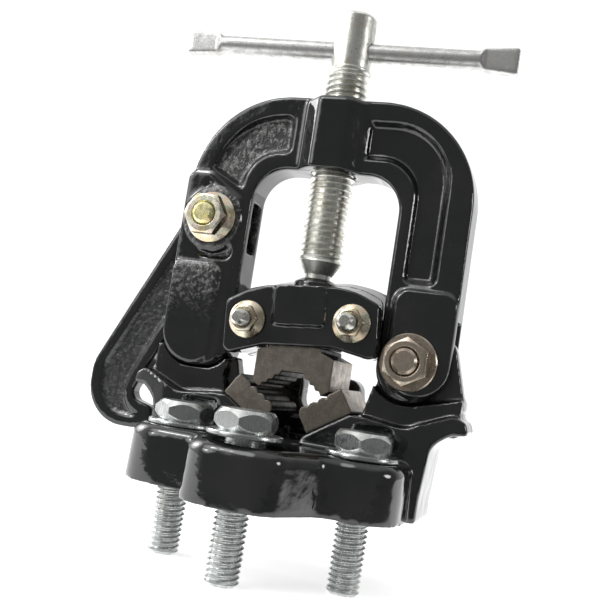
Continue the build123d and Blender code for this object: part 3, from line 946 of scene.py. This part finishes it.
@dataclass
class Hinge:
    """Pivot bolt with its washers and nut, carried by the base."""

    finishes: Finishes
    centre: Pair = (40.2, 53.3)
    face: float = 9.0
    seat: float = 10.6
    radius: float = 4.5
    bore: float = 4.55
    washer: float = 10.2

    def build(self) -> None:
        """Makes and dresses the hinge's hardware."""
        dull = self.finishes.dull
        head = Hexagon(15.0, 0.0, 6.0, 0.6, 0.6)
        bolt = CrossBolt(self.centre, self.radius, 1.25, self.seat, -18.0, head)
        place(bolt.build("pivot_bolt_threaded"), dull, "base", "pivot_bolt")
        nut = Nut(self.centre, -self.seat, self.bore, Hexagon(15.0, 0.0, 6.2, 0.4, 0.6, 30.0))
        place(nut.build("pivot_nut_dressed"), dull, "base", "pivot_nut")
        bore, rim, top = self.bore, self.washer, self.seat - self.face
        for facing, seat in ((Facing.FRONT, -self.face), (Facing.REAR, self.face)):
            stack = Turned().ring((bore, 0), (rim - 0.2, 0), (rim, 0.3), (rim, top - 0.4))
            stack.ring((rim - 0.4, top), (bore + 0.35, top), (bore, top - 0.3), (bore, 0))
            name = f"pivot_washer_{facing.value}"
            washer = stack.build(name, across(self.centre, seat), facing)
            place(washer, dull, "base", "pivot_washers")


@dataclass
class Yoke:
    """Hinged yoke with the bolt and nut that carry the latch."""

    finishes: Finishes
    latch_axis: Pair = (-42.3, 97.1)
    seat: float = 9.3

    def build(self) -> None:
        """Makes and dresses the yoke casting, the latch hook and the latch hardware."""
        finishes = self.finishes
        SoftCopy("yoke_casting", 0.68, 5).placed(finishes.yoke, "yoke", "cast_black")
        SoftCopy("latch_hook", 0.6, 4).placed(finishes.hook, "latch", "cast_black")
        head = Hexagon(13.0, 0.0, 5.3, 0.5, 0.5)
        bolt = CrossBolt(self.latch_axis, 4.0, 1.25, self.seat, -18.8, head)
        place(bolt.build("latch_bolt_threaded"), finishes.gold, "yoke", "latch_bolt")
        nut = Nut(self.latch_axis, -self.seat, 4.05, Hexagon(14.6, 0.0, 8.0, 0.4, 0.5), 9.7)
        place(nut.build("latch_nut_dressed"), finishes.yellow, "yoke", "latch_nut")


@dataclass
class Carrier:
    """Two-part carrier with its bolts, nuts and the sliding jaw."""

    finishes: Finishes
    bolts: tuple = (("left", (-19.43, 60.4)), ("right", (19.43, 63.8)))
    seat: float = 14.2
    lean: float = 5.0

    def build(self) -> None:
        """Makes and dresses everything that slides in the yoke."""
        finishes = self.finishes
        for half in ("front", "rear"):
            casting = SoftCopy(f"carrier_{half}_half", 0.5, 4)
            casting.placed(finishes.cast, "carrier", "cast_black")
        SoftCopy("upper_jaw", 0.3, 2).placed(finishes.jaw, "carrier", "jaw_steel")
        head = Hexagon(10.0, 0.0, 4.0, 0.4, 0.4, -self.lean)
        hexagon = Hexagon(9.2, 0.0, 5.6, 0.3, 0.25, self.lean)
        for side, centre in self.bolts:
            bolt = CrossBolt(centre, 2.85, 1.0, self.seat, -24.8, head)
            made = bolt.build(f"carrier_bolt_{side}")
            place(made, finishes.pale, "carrier", "carrier_bolts")
            # The carrier nuts take the browner yellow zinc, whose darkness is painted shade.
            made = Nut(centre, -self.seat, 2.9, hexagon, 6.9).build(f"carrier_nut_{side}")
            place(made, finishes.shaded_brown_gold, "carrier", "carrier_nuts")


@dataclass
class ClampScrew:
    """Clamping screw: captive foot, neck, cone, thread and the drilled head."""

    finishes: Finishes
    thread: Thread = Thread(8.2, 2.3, 1.15, 85.5, 159.2, 0.8, 1.4, 10)
    foot: tuple = ((0, 62.0), (7.1, 62.0), (7.5, 62.4), (7.5, 69.6), (7.1, 70.0), (4.75, 70.0))
    neck: tuple = ((4.75, 80.9), (5.25, 81.0), (8.0, 85.3))
    end: tuple = ((7.6, 159.5), (0, 159.5))
    head_from: float = 159.0

    def build(self) -> None:
        """Makes the threaded part as a grid and the drilled head as a rounded copy."""
        stack = Turned().ring(*self.foot, *self.neck).section(self.thread).ring(*self.end)
        thread = stack.build("clamp_screw_thread", (0, 0, 0))
        place(thread, self.finishes.screw, "screw", "clamp_screw")
        head = SoftCopy("clamp_screw", 0.3, 3, "head", self.head_from)
        head.placed(self.finishes.screw, "screw", "screw_steel")


@dataclass
class TommyBar:
    """Sliding bar whose ends are hammered into upright spades, lengths in millimetres."""

    finishes: Finishes
    height: float = 167.0
    angle: float = 3.7
    left: float = -66.0
    right: float = 62.0
    radius: float = 3.5
    spade: float = 14.0
    left_half_height: float = 4.55
    right_half_height: float = 5.0
    half_thickness: float = 2.1
    root: float = 0.18
    early: float = 0.7
    powers: Pair = (2.0, 7.0)
    tip_steps: tuple = (0.0, 0.0, 0.25, 0.7)
    tip_sizes: tuple = (0.0, 0.86, 0.95)
    spade_rows: int = 25
    shaft_rows: int = 24
    columns: int = 64
    bend_limit: float = 50.0

    def build(self) -> None:
        """Carries a rounded section along the bar.

        With s the place along a spade, from 0 at its root to 1 at its tip, the section is a
        super-ellipse |y / b|^n + |z / a|^n = 1. Its half height a grows evenly from the
        bar's radius, its half thickness b drops fast at the root and then slowly, and its
        power n grows fast from 2 to 7. Both ends are drawn in to a point over a rounded rim.
        """
        left, right, spade = self.left, self.right, self.spade
        steps = np.array(self.tip_steps)
        along = np.concatenate(
            [
                left + steps,
                np.linspace(left + 2, left + spade, self.spade_rows),
                np.linspace(left + spade + 3, right - spade - 3, self.shaft_rows),
                np.linspace(right - spade, right - 2, self.spade_rows),
                right - steps[::-1],
            ]
        )
        flat = np.clip(1 - np.minimum(along - left, right - along) / spade, 0, 1)
        ease = np.clip(flat / self.root, 0, 1)
        ease = ease * ease * (3 - 2 * ease)
        tip = np.where(along < 0, self.left_half_height, self.right_half_height)
        early, late = self.early, 1 - self.early
        tall = self.radius + (tip - self.radius) * (late * ease + early * flat)
        thin = self.radius + (self.half_thickness - self.radius) * (early * ease + late * flat)
        power = self.powers[0] + (self.powers[1] - self.powers[0]) * ease
        rim = np.ones_like(along)
        for row, size in enumerate(self.tip_sizes):
            rim[[row, -1 - row]] = size
        angle = np.linspace(0, 2 * np.pi, self.columns + 1)
        cos, sin = np.cos(angle), np.sin(angle)
        share = 2 / power[:, None]
        y = (thin * rim)[:, None] * np.sign(cos) * np.abs(cos) ** share
        z = (tall * rim)[:, None] * np.sign(sin) * np.abs(sin) ** share
        x = np.broadcast_to(along[:, None], y.shape)
        turned = (x + 1j * y) * np.exp(1j * math.radians(self.angle))
        points = np.stack([turned.real, turned.imag, z + self.height], axis=-1)
        made = grid_object("tommy_bar_forged", points * MM, self.bend_limit)
        place(made, self.finishes.bar, "bar", "tommy_bar")


@dataclass(frozen=True)
class Glow:
    """Round light that fades smoothly from its inner to its outer angle."""

    toward: Triple
    peak: float
    inner: float = 8.0
    outer: float = 25.0


@dataclass
class Studio:
    """Pale floor and white surroundings, dim in front, with soft round lights.

    Lengths are in millimetres and angles in degrees. The room and the ceiling are ranges of
    a cosine with the levels of light at their ends.
    """

    target: Triple = (-3.757, 0.0, 69.67)
    azimuth: float = 18.286
    elevation: float = -4.503
    roll: float = 8.862
    distance: float = 335.309
    focal_pixels: float = 900.0
    image_side: float = 608.0
    dim_side: Triple = (0.508, -0.861, 0.0)
    room: tuple = (-0.55, 0.30, 1.15, 0.2)
    ceiling: tuple = (0.45, 0.95, 0.0, 0.8)
    floor_x: Pair = (-3000, 3000)
    floor_y: Pair = (-260, 3000)
    floor_z: float = -24.55
    floor_points: int = 13
    floor_noise: float = 3.0
    floor_tones: tuple = (0.1, 0.9, 0.93)
    floor_roughness: float = 0.9
    floor_specular: float = 0.1
    floor_fade: Pair = (70, 190)
    floor_glow: float = 0.6
    glows: tuple = (
        Glow((-0.95, 0.2, 0.42), 5.0),
        Glow((-0.45, -0.45, 0.77), 3.5),
        Glow((-0.62, -0.69, 0.36), 3.5, 4.0, 20.0),
        Glow((-0.95, 0.2, 0.42), 18.0, 3.0, 9.0),
        Glow((-0.45, -0.45, 0.77), 16.0, 2.0, 7.0),
        Glow((-0.66, -0.64, 0.40), 16.0, 2.0, 7.0),
        Glow((0.96, -0.08, 0.26), 9.0, 3.0, 10.0),
    )

    def camera(self) -> None:
        """Places the camera: it looks at the target from an azimuth and elevation, rolled."""
        azimuth, elevation, roll = map(math.radians, (self.azimuth, self.elevation, self.roll))
        level = math.cos(elevation)
        x, y = math.sin(azimuth) * level, -math.cos(azimuth) * level
        back = Vector((x, y, math.sin(elevation)))
        right = (-back).cross(Vector((0, 0, 1))).normalized()
        up = right.cross(-back).normalized()
        side = right * math.cos(roll) + up * math.sin(roll)
        top = up * math.cos(roll) - right * math.sin(roll)
        data = bpy.data.cameras.new("camera")
        data.sensor_width = SENSOR
        data.sensor_fit = "HORIZONTAL"
        data.lens = SENSOR * self.focal_pixels / self.image_side
        data.clip_start = 0.01
        made = put_in_scene("camera", data)
        turn = Matrix((side, top, back)).transposed().to_4x4()
        spot = (Vector(self.target) + back * self.distance) * MM
        made.matrix_world = Matrix.Translation(spot) @ turn
        bpy.context.scene.camera = made

    def world(self) -> None:
        """White all round for the camera; lit directions dim towards the room in front."""
        world = bpy.data.worlds.new("studio")
        world.use_nodes = True
        world.node_tree.nodes.clear()
        nodes = Nodes(world.node_tree)
        way = nodes.add("TexCoord").outputs["Generated"]
        level = nodes.ramp(nodes.cosine(way, self.dim_side), *self.room)
        up = nodes.add("SeparateXYZ", {0: way}).outputs[2]
        level = nodes.math("MAXIMUM", level, nodes.ramp(up, *self.ceiling))
        for glow in self.glows:
            near = nodes.cosine(way, tuple(Vector(glow.toward).normalized()))
            span = (math.cos(math.radians(angle)) for angle in (glow.outer, glow.inner))
            level = nodes.math("MAXIMUM", level, nodes.ramp(near, *span, 0.0, glow.peak))
        level = nodes.math("MAXIMUM", level, nodes.add("LightPath").outputs["Is Camera Ray"])
        shade = nodes.add("Background", {"Color": WHITE, "Strength": level})
        nodes.feed(nodes.add("OutputWorld").inputs["Surface"], shade.outputs[0])
        bpy.context.scene.world = world

    def floor(self) -> None:
        """Pale floor under the bolt ends, dim in reflections of what lies in front."""
        x, y = (np.linspace(*span, self.floor_points) for span in (self.floor_x, self.floor_y))
        x, y = np.meshgrid(x, y)
        made = grid_object("floor", np.stack([x, y, np.full_like(x, self.floor_z)], axis=-1) * MM)
        material, nodes, shader = new_material("floor_pale")
        where = nodes.add("TexCoord").outputs["Object"]
        dark, low, high = ((tone, tone, tone) for tone in self.floor_tones)
        tone = nodes.blend(nodes.noise(where, self.floor_noise), low, high)
        rays = nodes.add("LightPath").outputs
        near, far = self.floor_fade
        lit = nodes.rise(nodes.cosine(where, self.dim_side), far, near)
        lit = nodes.math("MAXIMUM", lit, rays["Is Camera Ray"])
        nodes.feed(shader.inputs["Base Color"], nodes.blend(lit, dark, tone))
        shader.inputs["Roughness"].default_value = self.floor_roughness
        shader.inputs["Specular IOR Level"].default_value = self.floor_specular
        seen = nodes.times(lit, rays["Is Glossy Ray"])
        seen = nodes.math("MAXIMUM", rays["Is Camera Ray"], seen)
        nodes.feed(shader.inputs["Emission Color"], WHITE)
        nodes.feed(shader.inputs["Emission Strength"], nodes.times(seen, self.floor_glow))
        made.data.materials.append(material)

    def build(self) -> None:
        """Sets up the whole stage."""
        self.camera()
        self.world()
        self.floor()
        bpy.context.scene.view_settings.view_transform = "Standard"


def main() -> None:
    """Builds every piece in order, then the stage."""
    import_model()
    finishes = Finishes()
    for part in (Base, Hinge, Yoke, Carrier, ClampScrew, TommyBar):
        part(finishes).build()
    Studio().build()


if __name__ == "__main__":
    main()
